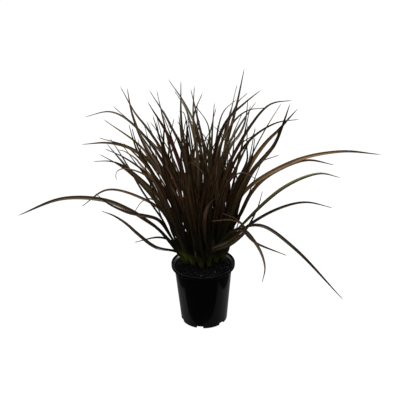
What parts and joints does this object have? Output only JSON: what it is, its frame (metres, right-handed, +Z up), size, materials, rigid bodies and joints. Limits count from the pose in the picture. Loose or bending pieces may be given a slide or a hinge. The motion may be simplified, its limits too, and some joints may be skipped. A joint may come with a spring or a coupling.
{
  "type": "potted dwarf new zealand flax",
  "caption": "Dwarf New Zealand flax: bronze sword leaves in leafy fans, standing in bark mix in a round black nursery pot.",
  "frame": {"origin": "on the pot's axis at the floor, the middle of the pad under its base", "axes": "+Z up; -Y is the front, the side that the picture shows; +X is to the right as seen from the front"},
  "size_m": [0.7828, 0.4269, 0.5389],
  "materials": {
    "pot_plastic": "gloss",
    "bark_mix": "matte",
    "leaf": "satin"
  },
  "bodies": {
    "root": {"pot": "pot_plastic", "potting_mix": "bark_mix", "fan_01": "leaf", "fan_02": "leaf", "fan_03": "leaf", "fan_04": "leaf", "fan_05": "leaf", "fan_06": "leaf", "fan_07": "leaf", "fan_08": "leaf", "fan_09": "leaf", "fan_10": "leaf", "fan_11": "leaf", "fan_12": "leaf", "fan_13": "leaf", "fan_14": "leaf", "fan_15": "leaf", "fan_16": "leaf"}
  },
  "joints": []
}
